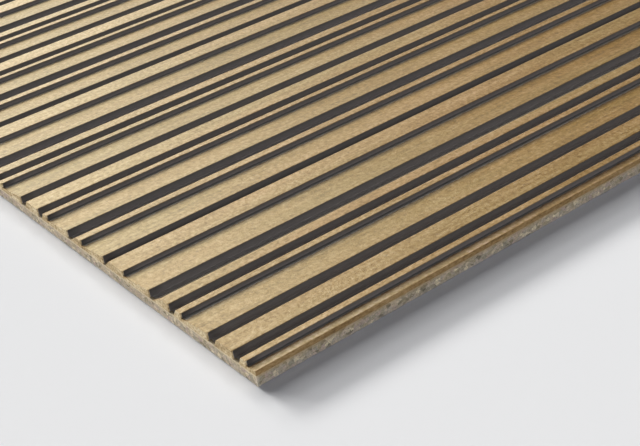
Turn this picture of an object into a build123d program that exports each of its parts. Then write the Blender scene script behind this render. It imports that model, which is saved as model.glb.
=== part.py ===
import os

from build123d import *

# The panel lies flat on its back. X runs along the strips, Y across them, and
# Z is up. The origin is the middle of the back face. All sizes are millimetres.

# Sheet
panel_length = 1200.0
panel_width = 600.0
backing_thickness = 3.6

# Face strips. A level strip has a flat top, and a far side that slopes down to
# the backing. A wedge strip has a top that falls to its thin edge, where it
# meets the next strip.
strip_thickness = 2.4
wedge_thin_edge = 1.0
arris_round = 0.2

# One repeat of the pattern, in order from the near long edge: name, width of
# the top, height of the top's far edge, run of the sloping far side, and open
# backing up to the next strip.
level = strip_thickness
pattern = [
    ("thin_strips_1", 2.1, level, 1.2, 2.45),
    ("flat_strips_1", 6.7, level, 1.3, 2.8),
    ("wedge_strips_1", 12.0, wedge_thin_edge, 0.0, 0.0),
    ("thin_strips_2", 2.3, level, 1.4, 2.35),
    ("thin_strips_3", 3.8, level, 4.2, 1.45),
    ("wedge_strips_2", 13.1, wedge_thin_edge, 0.0, 0.0),
    ("flat_strips_2", 7.2, level, 2.6, 1.0),
    ("wedge_strips_3", 12.1, wedge_thin_edge, 0.0, 0.0),
    ("thin_strips_4", 2.6, level, 3.9, 1.4),
    ("wedge_strips_4", 12.05, wedge_thin_edge, 0.0, 0.0),
]

# The near long edge cuts through the last wedge strip of the pattern and
# leaves this much of it, thin edge inwards. The far long edge cuts where the
# panel's width ends.
near_offcut = 3.9

near_edge = -panel_width / 2
far_edge = panel_width / 2
sheet_end = Plane.YZ.offset(-panel_length / 2)


def strip_section(top, far_height, slope):
    # Section of a strip, with its near bottom corner at the sketch's origin.
    with BuildSketch(mode=Mode.PRIVATE) as section:
        with BuildLine():
            Polyline(
                (0, 0), (top + slope, 0), (top, far_height), (0, strip_thickness), close=True
            )
        make_face()
        fillet(section.vertices().group_by(Axis.Y)[-1], arris_round)
    return section.sketch


# Where each strip starts, up to the far long edge
starts = {name: [] for name, *sizes in pattern}
strip_start = near_edge + near_offcut - pattern[-1][1]
while strip_start < far_edge:
    for name, top, far_height, slope, open_backing in pattern[-1:] + pattern[:-1]:
        starts[name].append(strip_start)
        strip_start += top + slope + open_backing

# Backing sheet
with BuildPart() as backing:
    with BuildSketch(Plane.XY):
        Rectangle(panel_length, panel_width)
    extrude(amount=backing_thickness)
backing.part.label = "backing_sheet"
pieces = [backing.part]

for name, top, far_height, slope, open_backing in pattern:
    whole = [y for y in starts[name] if y >= near_edge and y + top + slope <= far_edge]
    cut = [y for y in starts[name] if y < near_edge or y < far_edge < y + top + slope]

    # Whole strips of this kind, standing on the backing
    with BuildPart() as strips:
        with BuildSketch(sheet_end):
            with Locations(*[(y, backing_thickness) for y in whole]):
                add(strip_section(top, far_height, slope))
        extrude(amount=panel_length)
    strips.part.label = name
    pieces.append(strips.part)

    # What the long edges of the sheet leave of a strip that they cut through
    for y in cut:
        edge, side = (near_edge, "near") if y < near_edge else (far_edge, "far")
        with BuildPart() as edge_strip:
            with BuildSketch(sheet_end):
                with Locations((y, backing_thickness)):
                    add(strip_section(top, far_height, slope))
            extrude(amount=panel_length)
            split(bisect_by=Plane.XZ.offset(-edge), keep=Keep.BOTTOM if side == "near" else Keep.TOP)
        edge_strip.part.label = f"edge_strip_{side}"
        pieces.append(edge_strip.part)

os.makedirs("parts", exist_ok=True)
for piece in pieces:
    export_step(piece, f"parts/{piece.label}.step")
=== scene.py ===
import math
import random
import bmesh
import bpy
from mathutils import Matrix, Vector


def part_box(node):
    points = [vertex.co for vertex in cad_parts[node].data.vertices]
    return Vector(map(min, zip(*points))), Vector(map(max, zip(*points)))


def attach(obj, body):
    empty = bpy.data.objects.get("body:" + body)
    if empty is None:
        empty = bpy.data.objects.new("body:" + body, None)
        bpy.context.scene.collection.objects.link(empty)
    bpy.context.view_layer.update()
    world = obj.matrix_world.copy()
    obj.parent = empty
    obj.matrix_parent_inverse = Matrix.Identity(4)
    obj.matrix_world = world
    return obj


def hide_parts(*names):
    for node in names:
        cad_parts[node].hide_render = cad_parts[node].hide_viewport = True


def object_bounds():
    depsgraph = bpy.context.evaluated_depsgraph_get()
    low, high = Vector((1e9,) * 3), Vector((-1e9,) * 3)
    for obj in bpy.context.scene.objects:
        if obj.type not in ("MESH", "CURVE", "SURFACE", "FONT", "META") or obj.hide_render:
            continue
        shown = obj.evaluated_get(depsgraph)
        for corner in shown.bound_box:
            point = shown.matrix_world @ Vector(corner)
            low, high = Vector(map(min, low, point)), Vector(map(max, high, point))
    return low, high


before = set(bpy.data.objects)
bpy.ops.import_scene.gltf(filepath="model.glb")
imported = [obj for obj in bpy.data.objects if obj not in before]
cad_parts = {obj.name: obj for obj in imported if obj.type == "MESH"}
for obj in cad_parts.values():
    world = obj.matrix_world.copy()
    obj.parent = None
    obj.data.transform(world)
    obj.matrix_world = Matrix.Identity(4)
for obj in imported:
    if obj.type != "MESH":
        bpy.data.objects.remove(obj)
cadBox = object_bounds()
mm = 0.001
touching = 0.001 * mm  # places closer than this are the same place
straight = 0.99  # an edge runs along an axis where this share of its length does
facing = 0.9  # a face looks along an axis where its normal reaches this far
sloping = 0.1  # a face slopes, and is no wall, where its normal rises this far
panelLow, panelHigh = cadBox
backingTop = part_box("backing_sheet")[1].z
stripTop = panelHigh.z
print("frame loaded,", len(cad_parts), "nodes")


def clearSelection():
    if bpy.context.object and bpy.context.object.mode != "OBJECT":
        bpy.ops.object.mode_set(mode="OBJECT")
    bpy.ops.object.select_all(action="DESELECT")


def addBlock(name, low, high):
    # a cube at its size and place, with its origin at the frame's origin
    clearSelection()
    size = high - low
    bpy.ops.mesh.primitive_cube_add(size=1, location=(low + high) / 2, scale=size)
    block = bpy.context.object
    block.name = block.data.name = name
    bpy.ops.object.transform_apply(location=True, rotation=True, scale=True)
    return block


def pick(block, kind, test):
    # selects the verts or edges that pass the test, in edit mode
    bpy.ops.mesh.select_mode(type=kind)
    bpy.ops.mesh.select_all(action="DESELECT")
    shape = bmesh.from_edit_mesh(block.data)
    for item in {"VERT": shape.verts, "EDGE": shape.edges}[kind]:
        if test(item):
            item.select = True
    shape.select_flush_mode()
    bmesh.update_edit_mesh(block.data)


def runsAlong(edge, axis):
    step = edge.verts[1].co - edge.verts[0].co
    return abs(step[axis]) > straight * step.length


def middle(edge):
    return (edge.verts[0].co + edge.verts[1].co) / 2


def fromEnd(place):
    # how far a place lies inside the nearer end of the panel
    return min(place.x - panelLow.x, panelHigh.x - place.x)


def fromLongEdge(place):
    return min(place.y - panelLow.y, panelHigh.y - place.y)


def addAttributes(piece, names):
    # one value a vertex, for the materials
    for name in names:
        piece.data.attributes.new(name, "FLOAT", "POINT")
    return [piece.data.attributes[name].data for name in names]


def cloudTexture(name, size):
    texture = bpy.data.textures.new(name, "CLOUDS")
    texture.noise_scale = size * mm
    texture.noise_depth = 2
    return texture


def wearAway(piece, name, texture, depth, verts):
    # sinks these vertices a little, by no more than twice the depth
    group = piece.vertex_groups.new(name=name)
    group.add(verts, 1.0, "REPLACE")
    displace = piece.modifiers.new(name, "DISPLACE")
    displace.texture = texture
    displace.texture_coords = "GLOBAL"
    displace.strength = depth * mm * 2
    displace.mid_level = 1.0
    displace.vertex_group = group.name
    bpy.context.view_layer.objects.active = piece
    bpy.ops.object.modifier_apply(modifier=displace.name)
    piece.vertex_groups.clear()


def smoothByAngle(piece, degrees):
    clearSelection()
    piece.select_set(True)
    bpy.context.view_layer.objects.active = piece
    bpy.ops.object.shade_smooth_by_angle(angle=math.radians(degrees))


# Helpers for materials
black, white = (0.0, 0.0, 0.0), (1.0, 1.0, 1.0)


def newMaterial(name):
    mat = bpy.data.materials.new(name)
    mat.use_nodes = True
    return mat, mat.node_tree.nodes, mat.node_tree.links, mat.node_tree.nodes["Principled BSDF"]


def objectCoords(nodes):
    return nodes.new("ShaderNodeTexCoord").outputs["Object"]


def heightOf(nodes, links, coord):
    node = nodes.new("ShaderNodeSeparateXYZ")
    links.new(coord, node.inputs["Vector"])
    return node.outputs["Z"]


def attribute(nodes, name):
    node = nodes.new("ShaderNodeAttribute")
    node.attribute_name = name
    return node.outputs["Fac"]


def noiseAt(nodes, links, coord, waves, detail, rough, shift=(0, 0, 0)):
    # noise whose scale is given in waves per metre along X, Y and Z
    mapping = nodes.new("ShaderNodeMapping")
    mapping.inputs["Scale"].default_value = waves
    mapping.inputs["Location"].default_value = shift
    links.new(coord, mapping.inputs["Vector"])
    noise = nodes.new("ShaderNodeTexNoise")
    noise.inputs["Scale"].default_value = 1.0
    noise.inputs["Detail"].default_value = detail
    noise.inputs["Roughness"].default_value = rough
    links.new(mapping.outputs["Vector"], noise.inputs["Vector"])
    return noise.outputs["Fac"]


def ramp(nodes, links, fac, places, colours):
    node = nodes.new("ShaderNodeValToRGB")
    links.new(fac, node.inputs["Fac"])
    while len(node.color_ramp.elements) < len(places):
        node.color_ramp.elements.new(0.5)
    for element, place, colour in zip(node.color_ramp.elements, places, colours):
        element.position = place
        element.color = (*colour, 1)
    return node.outputs["Color"]


def mapRange(nodes, links, value, fromLow, fromHigh, toLow=0.0, toHigh=1.0, run="LINEAR"):
    node = nodes.new("ShaderNodeMapRange")
    node.interpolation_type = run
    links.new(value, node.inputs["Value"])
    node.inputs["From Min"].default_value = fromLow
    node.inputs["From Max"].default_value = fromHigh
    node.inputs["To Min"].default_value = toLow
    node.inputs["To Max"].default_value = toHigh
    return node.outputs["Result"]


def mixColour(nodes, links, fac, a, b, mode="MIX"):
    node = nodes.new("ShaderNodeMix")
    node.data_type = "RGBA"
    node.blend_type = mode
    if isinstance(fac, float):
        node.inputs["Factor"].default_value = fac
    else:
        links.new(fac, node.inputs["Factor"])
    for socket, value in ((node.inputs[6], a), (node.inputs[7], b)):  # the colour sockets
        if isinstance(value, tuple):
            socket.default_value = (*value, 1)
        else:
            links.new(value, socket)
    return node.outputs[2]


def shade(nodes, links, colour, by):
    return mixColour(nodes, links, 1.0, colour, by, "MULTIPLY")


def calc(nodes, links, operation, a, b):
    node = nodes.new("ShaderNodeMath")
    node.operation = operation
    for socket, value in zip(node.inputs, (a, b)):
        if isinstance(value, (int, float)):
            socket.default_value = value
        else:
            links.new(value, socket)
    return node.outputs["Value"]


def blend(nodes, links, parts):
    # weighted sum of a few masks
    total = None
    for socket, weight in parts:
        share = calc(nodes, links, "MULTIPLY", socket, weight)
        total = share if total is None else calc(nodes, links, "ADD", total, share)
    return total


def bumpFrom(nodes, links, height, strength, depth, below=None):
    node = nodes.new("ShaderNodeBump")
    node.inputs["Strength"].default_value = strength
    node.inputs["Distance"].default_value = depth * mm
    links.new(height, node.inputs["Height"])
    if below is not None:
        links.new(below, node.inputs["Normal"])
    return node.outputs["Normal"]


# Paint of the grooves. In this and the other looks a noise is its waves per metre along X, Y
# and Z, its detail, its roughness and sometimes a shift. A relief is its strength and its depth
# in millimetres.
paintLook = {
    "colour": (0.192, 0.172, 0.158),  # at the top of the walls
    "lowPaintedLight": (0.40, 0.365, 0.345),  # low on the walls: painted light, paler where the grooves lie in shade
    "lowPaintedLightPlace": 0.86,  # of the way down the walls
    "footPaintedLight": 1.55,  # how much paler the paint is on the backing, painted light in the deepest shade
    "wallTop": 0.6,  # millimetres below the tops of the strips
    "wallFoot": 0.05,  # millimetres above the backing
    "endPaintedShade": 0.36,  # painted shade, darker on the walls near the ends of the grooves, where the lamps reach in
    "paler": (1.12, 1.12, 1.12),  # in the paint's paler spots
    "wornPlaces": (0.40, 0.68),
    "mottle": ((500, 1600, 1600), 3, 0.6),
    "ragged": ((600, 1500, 1500), 3, 0.6),  # the line where the paint ends
    "raggedShare": 0.4,
    "coverPlaces": (0.65, 0.72),
    "stain": (0.62, 0.50, 0.36),  # of the bare wood just beyond the paint
    "stainPlaces": (0.28, 0.66),
    "roughness": 0.85,
    "gloss": 0.15,
    "relief": (0.3, 0.08),
    "slope": (0.056, 0.050, 0.043),  # darker and duller on the sloping far sides; the darkness is painted shade where the low lamps light them
    # paler at the foot of the slopes: painted light where they lie in shade
    "slopeFoot": (0.168, 0.156, 0.144),
    "thinEdge": (0.31, 0.29, 0.275),  # on the tops of the wedge strips, at their thin edges; paler than the walls' paint as painted light in the next strip's shadow
}


def paintColour(nodes, links, coord, grain, look, above="colour", below="lowPaintedLight"):
    # the paint of the grooves, paler towards their bottoms as painted light against the shade in them
    wallTop = stripTop - look["wallTop"] * mm
    wallFoot = backingTop + look["wallFoot"] * mm
    depth = mapRange(nodes, links, heightOf(nodes, links, coord), wallTop, wallFoot)
    footPaintedLight = tuple(look["footPaintedLight"] * part for part in look[below])
    places = (0.0, look["lowPaintedLightPlace"], 1.0)
    colour = ramp(nodes, links, depth, places, (look[above], look[below], footPaintedLight))
    paler = ramp(nodes, links, grain, look["wornPlaces"], (white, look["paler"]))
    return shade(nodes, links, colour, paler)


def paintEnd(nodes, links, coord, look):
    # how far the paint covers, ending in a slightly ragged line, and what it stains beyond it
    ragged = noiseAt(nodes, links, coord, *look["ragged"])
    painted = attribute(nodes, "paint")
    share = look["raggedShare"]
    cover = blend(nodes, links, [(painted, 1 - share), (ragged, share)])
    mask = ramp(nodes, links, cover, look["coverPlaces"], (black, white))
    stain = ramp(nodes, links, cover, look["stainPlaces"], (white, look["stain"]))
    return mask, stain


def makeGroovePaint(look):
    mat, nodes, links, shader = newMaterial("groove paint")
    coord = objectCoords(nodes)
    grain = noiseAt(nodes, links, coord, *look["mottle"])
    colour = paintColour(nodes, links, coord, grain, look)
    # painted shade near the ends of the grooves
    endPaintedShade = mixColour(nodes, links, attribute(nodes, "nearEnd"), white, (look["endPaintedShade"],) * 3)
    links.new(shade(nodes, links, colour, endPaintedShade), shader.inputs["Base Color"])
    shader.inputs["Roughness"].default_value = look["roughness"]
    shader.inputs["Specular IOR Level"].default_value = look["gloss"]
    links.new(bumpFrom(nodes, links, grain, *look["relief"]), shader.inputs["Normal"])
    return mat


def makeDullPaint(name, look, above, below):
    mat, nodes, links, shader = newMaterial(name)
    coord = objectCoords(nodes)
    grain = noiseAt(nodes, links, coord, *look["mottle"])
    links.new(paintColour(nodes, links, coord, grain, look, above, below), shader.inputs["Base Color"])
    shader.inputs["Roughness"].default_value = 1.0
    shader.inputs["Specular IOR Level"].default_value = 0.0
    links.new(bumpFrom(nodes, links, grain, *look["relief"]), shader.inputs["Normal"])
    return mat


# Wood of the strips' faces
faceWoodLook = {
    "dark": (0.150, 0.078, 0.014),
    "base": (0.316, 0.197, 0.064),
    "light": (0.475, 0.338, 0.155),
    "grainPlaces": (0.34, 0.50, 0.66),
    "fibre": ((800, 680, 680), 4, 0.70),
    "line": ((50, 880, 880), 2, 0.5),
    "cloud": ((20, 60, 60), 3, 0.5),
    "grainShares": (0.60, 0.26, 0.14),  # of the fibres, the lines and the clouds
    "warm": ((9, 90, 90), 2, 0.5, (0.5, 0.2, 0.9)),
    "warmPlaces": (0.35, 0.65),
    "warmShades": ((0.95, 0.97, 0.93), (1.06, 1.01, 1.05)),
    "toneShades": ((0.635, 0.59, 0.31), (1.12, 1.16, 1.50)),  # of strips of tone 0 and 1; the wedge strips' low tone is painted shade, as their tops lean into the low lamps and catch more light and sheen
    "fleck": (0.13, 0.062, 0.012),
    "flecks": ((650, 1200, 1200), 2, 0.6, (0.3, 0.7, 0.1)),
    "fleckPlaces": (0.58, 0.70),
    "fleckStrength": 0.65,
    "fleckRelief": (-0.25, 0.06),
    "paint": ("colour", "lowPaintedLight"),
    "paintRoughness": 0.3,  # more than the wood's
    "roughness": (0.56, 0.16),  # between the fibres and on them
    "gloss": 0.5,
    "relief": (1.2, 0.16),
    "lacquer": 0.28,
    "lacquerRoughness": 0.37,
    "lacquerGloss": 1.63,  # index of refraction
    "lacquerRelief": (1.0, 0.16),
}
wedgeWoodLook = {
    **faceWoodLook,
    "dark": (0.13, 0.066, 0.006),
    "light": (0.52, 0.375, 0.25),
    "paint": ("thinEdge", "thinEdge"),
}


def makeFaceWood(name, look):
    mat, nodes, links, shader = newMaterial(name)
    coord = objectCoords(nodes)
    fibre = noiseAt(nodes, links, coord, *look["fibre"])
    line = noiseAt(nodes, links, coord, *look["line"])
    cloud = noiseAt(nodes, links, coord, *look["cloud"])
    grain = blend(nodes, links, list(zip((fibre, line, cloud), look["grainShares"])))
    colours = (look["dark"], look["base"], look["light"])
    colour = ramp(nodes, links, grain, look["grainPlaces"], colours)
    warm = noiseAt(nodes, links, coord, *look["warm"])
    warmShade = ramp(nodes, links, warm, look["warmPlaces"], look["warmShades"])
    colour = shade(nodes, links, colour, warmShade)
    toneShade = ramp(nodes, links, attribute(nodes, "stripToneAndShade"), (0.0, 1.0), look["toneShades"])
    colour = shade(nodes, links, colour, toneShade)
    flecks = noiseAt(nodes, links, coord, *look["flecks"])
    fleckMask = ramp(nodes, links, flecks, look["fleckPlaces"], (black, white))
    fleckCover = calc(nodes, links, "MULTIPLY", fleckMask, look["fleckStrength"])
    colour = mixColour(nodes, links, fleckCover, colour, look["fleck"])
    paintMask, stain = paintEnd(nodes, links, coord, paintLook)
    colour = shade(nodes, links, colour, stain)
    paint = paintColour(nodes, links, coord, fibre, paintLook, *look["paint"])
    links.new(mixColour(nodes, links, paintMask, colour, paint), shader.inputs["Base Color"])
    woodRoughness = mapRange(nodes, links, fibre, 0.0, 1.0, *look["roughness"])
    roughness = blend(nodes, links, [(woodRoughness, 1.0), (paintMask, look["paintRoughness"])])
    links.new(roughness, shader.inputs["Roughness"])
    shader.inputs["Specular IOR Level"].default_value = look["gloss"]
    shader.inputs["Coat Weight"].default_value = look["lacquer"]
    shader.inputs["Coat Roughness"].default_value = look["lacquerRoughness"]
    shader.inputs["Coat IOR"].default_value = look["lacquerGloss"]
    normal = bumpFrom(nodes, links, grain, *look["relief"])
    links.new(bumpFrom(nodes, links, fleckMask, *look["fleckRelief"], normal), shader.inputs["Normal"])
    links.new(bumpFrom(nodes, links, grain, *look["lacquerRelief"]), shader.inputs["Coat Normal"])
    return mat


# Wood where the saw has cut it, across the grain and along it
endGrainLook = {
    "dark": (0.24, 0.135, 0.055),
    "base": (0.61, 0.465, 0.26),
    "light": (0.95, 0.83, 0.60),
    "grainPlaces": (0.32, 0.50, 0.66),
    "fine": ((1100, 1100, 1300), 3, 0.6),
    "cloud": ((150, 150, 300), 3, 0.5),
    "cloudShare": 0.4,
    "painted": True,  # where it meets the walls of the grooves
    "roughness": 0.8,
    "relief": (0.5, 0.12),
}
sawnSideLook = {
    **endGrainLook,
    "dark": (0.16, 0.092, 0.032),
    "base": (0.365, 0.228, 0.094),
    "light": (0.53, 0.36, 0.175),
    "fine": ((700, 1600, 1600), 3, 0.6),
    "cloud": ((60, 300, 500), 3, 0.5),
    "painted": False,
}
farSawnSideLook = {
    **sawnSideLook,  # a shade darker, because it faces the low lamps
    "dark": (0.12, 0.069, 0.024),
    "base": (0.28, 0.175, 0.073),
    "light": (0.41, 0.28, 0.135),
}


def makeCutWood(name, look):
    mat, nodes, links, shader = newMaterial(name)
    coord = objectCoords(nodes)
    fine = noiseAt(nodes, links, coord, *look["fine"])
    cloud = noiseAt(nodes, links, coord, *look["cloud"])
    share = look["cloudShare"]
    grain = blend(nodes, links, [(fine, 1 - share), (cloud, share)])
    colours = (look["dark"], look["base"], look["light"])
    colour = ramp(nodes, links, grain, look["grainPlaces"], colours)
    if look["painted"]:
        paint = paintColour(nodes, links, coord, fine, paintLook)
        colour = mixColour(nodes, links, paintEnd(nodes, links, coord, paintLook)[0], colour, paint)
    links.new(colour, shader.inputs["Base Color"])
    shader.inputs["Roughness"].default_value = look["roughness"]
    links.new(bumpFrom(nodes, links, fine, *look["relief"]), shader.inputs["Normal"])
    return mat


# Pressed chips of the backing. Depths in millimetres.
chipLook = {
    "chipPlaces": (0.00, 0.12, 0.34, 0.50, 0.66, 0.82, 0.94),
    "chipColours": (
        (0.24, 0.21, 0.155),
        (0.50, 0.43, 0.29),
        (0.62, 0.545, 0.445),
        (0.42, 0.385, 0.295),
        (0.66, 0.555, 0.40),
        (0.54, 0.43, 0.39),
        (0.85, 0.76, 0.55),
    ),
    "chipWaves": (780, 780, 1100),
    "chipWarp": ((900, 900, 900), 2, 0.5),
    "crumbs": ((1900, 1900, 2400), 3, 0.65),
    "crumbPlaces": (0.30, 0.52, 0.70),
    "crumbShades": ((0.66, 0.64, 0.60), white, (1.28, 1.27, 1.24)),
    "core": (0.95, 0.93, 0.93),  # shade of the coarser chips between the two skins; partly painted shade, darkening the middle of the cut faces where more light reaches
    "skin": (0.71, 0.57, 0.345),  # of the yellower chips just under the strips, paler there also as a painted highlight along the backing's top edge
    "longEdgeSkin": (0.50, 0.355, 0.17),  # where a long edge shows them
    "skinDepth": 0.8,
    "skinFull": 0.2,  # above the backing's top, where it would cover most
    "skinCover": 0.6,
    "backSkin": (0.74, 0.69, 0.62),  # of the finer chips at the back, paler also as painted light against the shade low on the cut faces
    "backSkinDepth": 1.5,
    "backSkinFull": 0.4,  # above the back, from where it covers most
    "backSkinCover": 0.5,
    "skinRagged": 0.8,  # of the inner limits of both skins
    "rimHighlight": (0.95, 0.86, 0.68),  # painted highlight along the edges of the two ends
    "rimCover": 0.5,
    "farEdge": (0.58, 0.575, 0.54),  # shade of the far long edge, which faces the low lamps
    "roughness": 0.88,
    "chipRelief": (0.35, 0.3),
    "crumbRelief": (0.5, 0.15),
}


def makeChipBoard(look):
    mat, nodes, links, shader = newMaterial("pressed chips")
    coord = objectCoords(nodes)
    mapping = nodes.new("ShaderNodeMapping")
    mapping.inputs["Scale"].default_value = look["chipWaves"]
    links.new(coord, mapping.inputs["Vector"])
    shifted = nodes.new("ShaderNodeVectorMath")
    shifted.operation = "ADD"
    links.new(mapping.outputs["Vector"], shifted.inputs[0])
    links.new(noiseAt(nodes, links, coord, *look["chipWarp"]), shifted.inputs[1])
    chips = nodes.new("ShaderNodeTexVoronoi")
    chips.inputs["Scale"].default_value = 1.0
    links.new(shifted.outputs["Vector"], chips.inputs["Vector"])
    parts = nodes.new("ShaderNodeSeparateColor")
    links.new(chips.outputs["Color"], parts.inputs["Color"])
    colour = ramp(nodes, links, parts.outputs["Red"], look["chipPlaces"], look["chipColours"])
    crumbs = noiseAt(nodes, links, coord, *look["crumbs"])
    crumbShade = ramp(nodes, links, crumbs, look["crumbPlaces"], look["crumbShades"])
    colour = shade(nodes, links, colour, crumbShade)
    colour = shade(nodes, links, colour, look["core"])
    # a skin of finer chips at the back, and one just under the strips, both paler and partly painted light
    level = blend(nodes, links, [(heightOf(nodes, links, coord), 1.0), (crumbs, look["skinRagged"] * mm)])
    start, full = look["backSkinDepth"] * mm, look["backSkinFull"] * mm
    backSkin = mapRange(nodes, links, level, start, full, 0.0, look["backSkinCover"])
    colour = mixColour(nodes, links, backSkin, colour, look["backSkin"])
    start, full = backingTop - look["skinDepth"] * mm, backingTop + look["skinFull"] * mm
    skin = mapRange(nodes, links, level, start, full, 0.0, look["skinCover"])
    skinColour = mixColour(nodes, links, attribute(nodes, "longEdge"), look["skin"], look["longEdgeSkin"])
    colour = mixColour(nodes, links, skin, colour, skinColour)
    # a painted highlight along the edges of the two ends
    paler = calc(nodes, links, "MULTIPLY", attribute(nodes, "rimHighlight"), look["rimCover"])
    colour = mixColour(nodes, links, paler, colour, look["rimHighlight"])
    farShade = mixColour(nodes, links, attribute(nodes, "farEdge"), white, look["farEdge"])
    colour = shade(nodes, links, colour, farShade)
    paint = paintColour(nodes, links, coord, crumbs, paintLook)
    colour = mixColour(nodes, links, paintEnd(nodes, links, coord, paintLook)[0], colour, paint)
    links.new(colour, shader.inputs["Base Color"])
    shader.inputs["Roughness"].default_value = look["roughness"]
    normal = bumpFrom(nodes, links, chips.outputs["Distance"], *look["chipRelief"])
    links.new(bumpFrom(nodes, links, crumbs, *look["crumbRelief"], normal), shader.inputs["Normal"])
    return mat


faceWood = makeFaceWood("face wood", faceWoodLook)
wedgeWood = makeFaceWood("wedge wood", wedgeWoodLook)
groovePaint = makeGroovePaint(paintLook)
slopePaint = makeDullPaint("slope paint", paintLook, "slope", "slopeFoot")
thinEdgePaint = makeDullPaint("thin edge paint", paintLook, "thinEdge", "thinEdge")
endGrain = makeCutWood("end grain", endGrainLook)
sawnSide = makeCutWood("sawn side", sawnSideLook)
farSawnSide = makeCutWood("far sawn side", farSawnSideLook)
chipBoard = makeChipBoard(chipLook)
print("materials made")

# Face strips. Sizes in millimetres, as they are in the CAD pieces.
stripShape = {
    "repeat": 100.0,
    "thinEdge": 1.0,  # height of a wedge strip there
    "cuts": (15, 14),  # each stretch of the length, and then each of those again
    "arris": 0.18,
    "smooth": 5,  # degrees
    "wobble": 0.05,
    "wobbleSize": 4.0,
    "steady": 0.5,  # height that doesn't wobble, at the foot of a strip
    "paintedRun": 2.3,  # of a wedge strip's top at its thin edge, to the middle of the stain
    "paintEdge": 1.1,  # half the width in which the paint and its stain end
    "bareEnd": 0.5,  # of a strip, in which the saw has chipped the paint
    "endCuts": 7,  # of an end face's sides, for its chipped rim
    "endSide": 3,  # arrises, the least length of a side that is cut so
    "chipping": 0.16,
    "chipSize": 0.9,
    "toneSpread": 0.12,  # between the copies of a strip
}
# A strip with no slope is a wedge strip, whose top falls to its thin edge instead.
# Besides the wood's tone, the kinds' tones hold painted shade and light: the wedge strips are darker, as
# their tops lean into the low lamps, and the near edge strip is paler, as it lies in the shadow of the
# strip behind it.
stripKinds = {
    "thin_strips_1": {"top": 2.1, "slope": 1.2, "toneAndShade": 1.0},
    "flat_strips_1": {"top": 6.7, "slope": 1.3, "toneAndShade": 0.92},
    "wedge_strips_1": {"top": 12.0, "toneAndShade": 0.18},
    "thin_strips_2": {"top": 2.3, "slope": 1.4, "toneAndShade": 0.9},
    "thin_strips_3": {"top": 3.8, "slope": 4.2, "toneAndShade": 0.9},
    "wedge_strips_2": {"top": 13.1, "toneAndShade": 0.18},
    "flat_strips_2": {"top": 7.2, "slope": 2.6, "toneAndShade": 0.9},
    "wedge_strips_3": {"top": 12.1, "toneAndShade": 0.18},
    "thin_strips_4": {"top": 2.6, "slope": 3.9, "toneAndShade": 0.9},
    "wedge_strips_4": {"top": 12.05, "toneAndShade": 0.18},
    "edge_strip_near": {"top": 12.05, "toneAndShade": 0.7, "cut": "near", "paintedRun": 1.6},
    "edge_strip_far": {"top": 12.05, "toneAndShade": 0.18, "cut": "far"},
}
toneDraws = random.Random(41)
wobbleTexture = cloudTexture("edge wobble", stripShape["wobbleSize"])
chippingTexture = cloudTexture("end chipping", stripShape["chipSize"])


def isWedge(kind):
    return "slope" not in kind


def stripWidth(kind):
    return (kind["top"] + kind.get("slope", 0)) * mm


def paintedRun(kind, shape):
    return kind.get("paintedRun", shape["paintedRun"])


def cutThrough(place, normal, **options):
    bpy.ops.mesh.select_mode(type="VERT")
    bpy.ops.mesh.select_all(action="SELECT")
    bpy.ops.mesh.bisect(plane_co=place, plane_no=normal, **options)


def paintCover(place, kind, nearY, shape):
    # how far the paint covers a place on a strip: what lies below the arris of its top, and a
    # wedge strip's top at its thin edge
    along = (place.y - nearY) / (kind["top"] * mm)
    drop = stripTop - backingTop - shape["thinEdge"] * mm if isWedge(kind) else 0.0
    top = stripTop - drop * along if 0 <= along <= 1 else stripTop
    cover = min(1.0, max(0.0, (top - place.z) / (shape["arris"] * mm)))
    if isWedge(kind):
        fromThinEdge = (1 - along) * kind["top"]
        reach = paintedRun(kind, shape) + shape["paintEdge"]
        cover = max(cover, (reach - fromThinEdge) / (2 * shape["paintEdge"]))
    return max(0.0, min(1.0, cover, fromEnd(place) / (shape["bareEnd"] * mm)))


def faceFinish(face, kind, nearY, shape):
    # which of the strip's materials a face is made of
    arris = shape["arris"] * mm
    if abs(face.normal.x) > facing or face.normal.z < -facing:
        return "end grain"
    if abs(face.normal.y) > facing and fromLongEdge(face.center) < arris:
        return "sawn side"
    if fromEnd(face.center) < shape["bareEnd"] * mm:
        return "end grain" if face.normal.y < -facing else "wood"
    if face.normal.z > facing:
        fromThinEdge = (nearY + kind["top"] * mm - face.center.y) / mm
        painted = isWedge(kind) and fromThinEdge < paintedRun(kind, shape) - shape["paintEdge"]
        return "dull paint" if painted else "wood"
    if face.normal.z > sloping:
        # part of an arris, or a sloping far side, which is many times as wide
        stretch = (panelHigh.x - panelLow.x) / math.prod(cuts + 1 for cuts in shape["cuts"])
        return "wood" if face.area < 1.5 * arris * stretch else "dull paint"
    return "groove paint"


def finishStrip(strip, kind, nearY, shape):
    cover, toneAndShade, nearEnd = addAttributes(strip, ("paint", "stripToneAndShade", "nearEnd"))
    for vertex in strip.data.vertices:
        cover[vertex.index].value = paintCover(vertex.co, kind, nearY, shape)
        toneAndShade[vertex.index].value = kind["toneAndShade"]
        # the strips' ends, where the groove paint gets its painted shade
        nearEnd[vertex.index].value = float(fromEnd(vertex.co) < shape["bareEnd"] * mm + touching)
    finishes = {
        "wood": wedgeWood if isWedge(kind) else faceWood,
        "groove paint": groovePaint,
        "end grain": endGrain,
        "sawn side": farSawnSide if kind.get("cut") == "far" else sawnSide,
        "dull paint": thinEdgePaint if isWedge(kind) else slopePaint,
    }
    for mat in finishes.values():
        strip.data.materials.append(mat)
    order = list(finishes)
    for face in strip.data.polygons:
        face.material_index = order.index(faceFinish(face, kind, nearY, shape))


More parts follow.
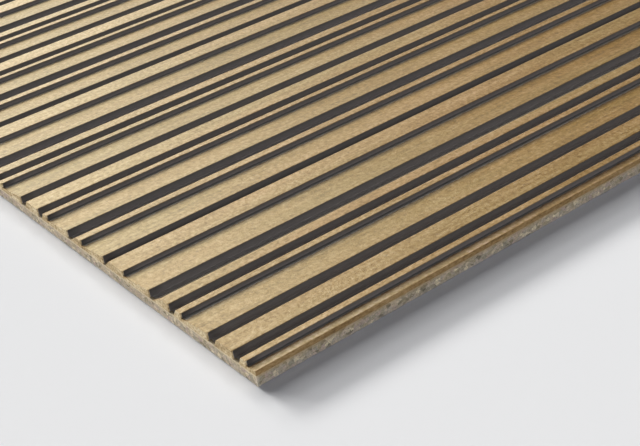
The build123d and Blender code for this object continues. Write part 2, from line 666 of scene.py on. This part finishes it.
def makeStrip(name, kind, nearY, lowY, highY, shape):
    # a block whose top or far side is tilted, cut by the sheet's long edges, with eased arrises
    width = stripWidth(kind)
    farY = nearY + width
    low, high = Vector((panelLow.x, nearY, backingTop)), Vector((panelHigh.x, farY, stripTop))
    strip = addBlock(name, low, high)
    centre = (low + high) / 2
    bpy.ops.object.mode_set(mode="EDIT")
    pick(strip, "VERT", lambda vert: vert.co.y > centre.y and vert.co.z > centre.z)
    if isWedge(kind):
        bpy.ops.transform.translate(value=(0, 0, backingTop + shape["thinEdge"] * mm - stripTop))
    else:
        bpy.ops.transform.translate(value=(0, -kind["slope"] * mm, 0))
    if lowY > nearY:
        cutThrough((0, lowY, 0), (0, 1, 0), use_fill=True, clear_inner=True)
    if highY < farY:
        cutThrough((0, highY, 0), (0, 1, 0), use_fill=True, clear_outer=True)
    for count in shape["cuts"]:
        pick(strip, "EDGE", lambda edge: runsAlong(edge, 0))
        bpy.ops.mesh.subdivide(number_cuts=count)
    for x in (panelLow.x + shape["bareEnd"] * mm, panelHigh.x - shape["bareEnd"] * mm):
        cutThrough((x, 0, 0), (1, 0, 0))
    if isWedge(kind):
        run = paintedRun(kind, shape)
        for back in (run - shape["paintEdge"], run + shape["paintEdge"]):
            if lowY < farY - back * mm < highY:
                cutThrough((0, farY - back * mm, 0), (0, 1, 0))
    arris = shape["arris"] * mm
    sharp = [max(lowY, nearY)]
    if not isWedge(kind):
        sharp.append(nearY + kind["top"] * mm)

    def isArris(edge):
        place = middle(edge)
        onTop = runsAlong(edge, 0) and place.z > backingTop + arris
        return onTop and any(abs(place.y - y) < touching for y in sharp)

    pick(strip, "EDGE", isArris)
    bpy.ops.mesh.bevel(offset=arris, segments=2, affect="EDGES")
    least = shape["endSide"] * arris
    pick(strip, "EDGE", lambda edge: fromEnd(middle(edge)) < touching and edge.calc_length() > least)
    bpy.ops.mesh.subdivide(number_cuts=shape["endCuts"])
    bpy.ops.object.mode_set(mode="OBJECT")
    finishStrip(strip, kind, nearY, shape)
    return strip


def placeCopies(strip, starts, nearY, shape):
    # one copy at each start, of its own tone, and all of them joined to the first strip
    strips = [strip]
    for start in starts:
        twin = strip.copy()
        twin.data = strip.data.copy()
        twin.data.transform(Matrix.Translation((0, start - nearY, 0)))
        bpy.context.collection.objects.link(twin)
        toneAndShade = toneDraws.uniform(-shape["toneSpread"], shape["toneSpread"])
        for entry in twin.data.attributes["stripToneAndShade"].data:
            entry.value += toneAndShade
        strips.append(twin)
    clearSelection()
    for each in strips:
        each.select_set(True)
    bpy.context.view_layer.objects.active = strip
    if len(strips) > 1:
        bpy.ops.object.join()


def roughen(strip, shape):
    above = [v for v in strip.data.vertices if v.co.z > backingTop + shape["steady"] * mm]
    ends = [v for v in above if fromEnd(v.co) < touching]
    wearAway(strip, "wobble", wobbleTexture, shape["wobble"], [v.index for v in above])
    wearAway(strip, "chipped ends", chippingTexture, shape["chipping"], [v.index for v in ends])


repeat = stripShape["repeat"] * mm
for node, kind in stripKinds.items():
    low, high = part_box(node)
    width = stripWidth(kind)
    nearY = high.y - width if kind.get("cut") == "near" else low.y
    strip = makeStrip(node + "_wood", kind, nearY, low.y, min(high.y, nearY + width), stripShape)
    count = 0 if kind.get("cut") else round((high.y - low.y - width) / repeat)
    placeCopies(strip, [nearY + repeat * step for step in range(1, count + 1)], nearY, stripShape)
    roughen(strip, stripShape)
    smoothByAngle(strip, stripShape["smooth"])
    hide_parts(node)
    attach(strip, "root")
print("strips made")

# Backing sheet, with crumbly cut edges. Sizes in millimetres.
backingShape = {
    "cuts": {0: (29, 39), 1: (19, 29), 2: (3,)},  # along X, Y and Z
    "easedEdge": 0.35,
    "smooth": 50,  # degrees
    "crumble": 0.16,
    "crumbleSize": 1.4,
    "bareEnd": 0.6,
}
crumbleTexture = cloudTexture("chip crumble", backingShape["crumbleSize"])


def makeBacking(shape):
    sheet = addBlock("backing_sheet_chips", *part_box("backing_sheet"))
    bpy.ops.object.mode_set(mode="EDIT")
    pick(sheet, "EDGE", lambda edge: middle(edge).z < panelLow.z + touching)
    bpy.ops.mesh.bevel(offset=shape["easedEdge"] * mm, segments=1, affect="EDGES")
    for axis, cuts in shape["cuts"].items():

        def isCut(edge):
            # edges along Y are cut at the two ends only, where the rim crumbles
            return runsAlong(edge, axis) and (axis != 1 or fromEnd(middle(edge)) < touching)

        for count in cuts:
            pick(sheet, "EDGE", isCut)
            bpy.ops.mesh.subdivide(number_cuts=count)
    bpy.ops.object.mode_set(mode="OBJECT")
    finishBacking(sheet, shape)
    return sheet


def finishBacking(sheet, shape):
    bareEnd = shape["bareEnd"] * mm
    cover, longEdge, farEdge, rimHighlight = addAttributes(sheet, ("paint", "longEdge", "farEdge", "rimHighlight"))
    for vertex in sheet.data.vertices:
        place, index = vertex.co, vertex.index
        onTop = place.z > backingTop - touching
        onLongEdge = fromLongEdge(place) < touching
        longEdge[index].value = float(onLongEdge)
        farEdge[index].value = float(panelHigh.y - place.y < touching)
        # the edges of the ends, which get a painted highlight
        rimHighlight[index].value = float(fromEnd(place) < touching and (onLongEdge or onTop))
        cover[index].value = min(1.0, fromEnd(place) / bareEnd) if onTop and not onLongEdge else 0.0
    sheet.data.materials.append(chipBoard)
    sheet.data.materials.append(groovePaint)
    for face in sheet.data.polygons:
        painted = face.normal.z > facing and fromEnd(face.center) > bareEnd
        face.material_index = int(painted)


backing = makeBacking(backingShape)
cutFaces = [v.index for v in backing.data.vertices if v.co.z < backingTop - touching]
wearAway(backing, "crumble", crumbleTexture, backingShape["crumble"], cutFaces)
smoothByAngle(backing, backingShape["smooth"])
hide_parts("backing_sheet")
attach(backing, "root")
print("backing made,", len(backing.data.polygons), "faces")

# Floor and light. Turns go from +X towards +Y. They, heights and spreads are in degrees.
stageLook = {
    "floor": (0.795, 0.817, 0.890),
    "floorSize": 80.0,  # metres
    "floorGap": 0.05,  # millimetres below the back of the panel
    "world": 0.062,
    "worldColour": (0.98, 0.99, 1.0),
    "backdrop": (0.80, 0.80, 0.80),
    "backdropTop": 0.13,  # sine of the height up to which reflections see it
    "ceiling": (0.06, 0.06, 0.06),
    "ceilingFoot": 0.22,
    "softBox": {
        "strength": 5.1,
        "turn": 82,
        "height": 31,
        "inner": 4,
        "outer": 30,
        "colour": (1.0, 0.96, 0.72),
    },
    # strength, turn, height, spread and colour
    "suns": {
        "low key 1": (0.97, 80, 15.8, 8, (1.0, 0.97, 0.88)),
        "low key 2": (1.75, 90, 15.8, 8, (1.0, 0.97, 0.88)),
        "low key 3": (1.40, 100, 15.8, 8, (1.0, 0.97, 0.88)),
        "low key 4": (1.15, 114, 15.4, 8, (1.0, 0.97, 0.88)),
        "middle key 1": (1.24, 94, 25, 15, (1.0, 0.97, 0.89)),
        "middle key 2": (0.16, 62, 30, 15, (1.0, 0.97, 0.89)),
        "high key": (1.05, 66, 42, 30, (1.0, 0.96, 0.87)),
        "front fill": (0.89, 252, 15, 40, (0.96, 0.99, 1.05)),
    },
    "sunDistance": 3.0,  # metres, and of no effect on the light
}


def makeFloor(look):
    clearSelection()
    bpy.ops.mesh.primitive_plane_add(size=look["floorSize"], location=(0, 0, -look["floorGap"] * mm))
    floor = bpy.context.object
    floor.name = "floor"
    bpy.ops.object.transform_apply(location=True)
    mat, *_, shader = newMaterial("floor")
    shader.inputs["Base Color"].default_value = (*look["floor"], 1)
    shader.inputs["Roughness"].default_value = 1.0
    shader.inputs["Specular IOR Level"].default_value = 0.0
    floor.data.materials.append(mat)


def skyPlace(turn, height):
    turn, height = math.radians(turn), math.radians(height)
    return Vector((math.cos(turn) * math.cos(height), math.sin(turn) * math.cos(height), math.sin(height)))


def makeSoftBox(nodes, links, direction, reflected, box):
    # shows in reflections only, where the lamps don't
    towards = nodes.new("ShaderNodeVectorMath")
    towards.operation = "DOT_PRODUCT"
    links.new(direction, towards.inputs[0])
    towards.inputs[1].default_value = skyPlace(box["turn"], box["height"])
    edge, full = (math.cos(math.radians(box[part])) for part in ("outer", "inner"))
    glow = mapRange(nodes, links, towards.outputs["Value"], edge, full, 0.0, box["strength"], "SMOOTHSTEP")
    shine = nodes.new("ShaderNodeBackground")
    shine.inputs["Color"].default_value = (*box["colour"], 1)
    links.new(calc(nodes, links, "MULTIPLY", glow, reflected), shine.inputs["Strength"])
    return shine.outputs["Background"]


def makeWorld(look):
    world = bpy.data.worlds.new("studio")
    bpy.context.scene.world = world
    world.use_nodes = True
    nodes, links = world.node_tree.nodes, world.node_tree.links
    nodes["Background"].inputs["Color"].default_value = (*look["worldColour"], 1)
    nodes["Background"].inputs["Strength"].default_value = look["world"]
    # the pale studio that the camera and the reflections see, dimmer overhead in reflections
    rays = nodes.new("ShaderNodeLightPath")
    reflected = rays.outputs["Is Glossy Ray"]
    direction = nodes.new("ShaderNodeTexCoord").outputs["Generated"]
    dimming = calc(nodes, links, "MULTIPLY", heightOf(nodes, links, direction), reflected)
    places = (look["backdropTop"], look["ceilingFoot"])
    walls = ramp(nodes, links, dimming, places, (look["backdrop"], look["ceiling"]))
    backdrop = nodes.new("ShaderNodeBackground")
    links.new(walls, backdrop.inputs["Color"])
    seen = rays.outputs["Is Camera Ray"]
    for kind in ("Is Glossy Ray", "Is Transmission Ray"):
        seen = calc(nodes, links, "MAXIMUM", seen, rays.outputs[kind])
    mix = nodes.new("ShaderNodeMixShader")
    links.new(seen, mix.inputs["Fac"])
    links.new(nodes["Background"].outputs["Background"], mix.inputs[1])
    links.new(backdrop.outputs["Background"], mix.inputs[2])
    both = nodes.new("ShaderNodeAddShader")
    links.new(mix.outputs["Shader"], both.inputs[0])
    links.new(makeSoftBox(nodes, links, direction, reflected, look["softBox"]), both.inputs[1])
    links.new(both.outputs["Shader"], nodes["World Output"].inputs["Surface"])


def makeSuns(look):
    for name, (strength, turn, height, spread, colour) in look["suns"].items():
        place = skyPlace(turn, height)
        bpy.ops.object.light_add(type="SUN", location=place * look["sunDistance"])
        sun = bpy.context.object
        sun.name = sun.data.name = name
        sun.data.energy = strength
        sun.data.angle = math.radians(spread)
        sun.data.color = colour
        sun.rotation_euler = place.to_track_quat("Z", "Y").to_euler()
        sun.visible_glossy = False


# Camera. Lengths in millimetres and turns in degrees.
cameraLook = {
    "fromCorner": (-130.6, -231.7, 200.6),  # from the panel's front corner, on the floor
    "turn": (58.974, 6.826, -37.767),
    "lens": 79.0,
    "clipStart": 10.0,
}


def makeCamera(look):
    corner = Vector((panelLow.x, panelLow.y, 0))
    bpy.ops.object.camera_add(location=corner + Vector(look["fromCorner"]) * mm)
    camera = bpy.context.object
    camera.rotation_euler = [math.radians(angle) for angle in look["turn"]]
    camera.data.lens = look["lens"]
    camera.data.clip_start = look["clipStart"] * mm
    bpy.context.scene.camera = camera


makeFloor(stageLook)
makeWorld(stageLook)
makeSuns(stageLook)
makeCamera(cameraLook)
bpy.context.scene.view_settings.view_transform = "Standard"
print("stage set")
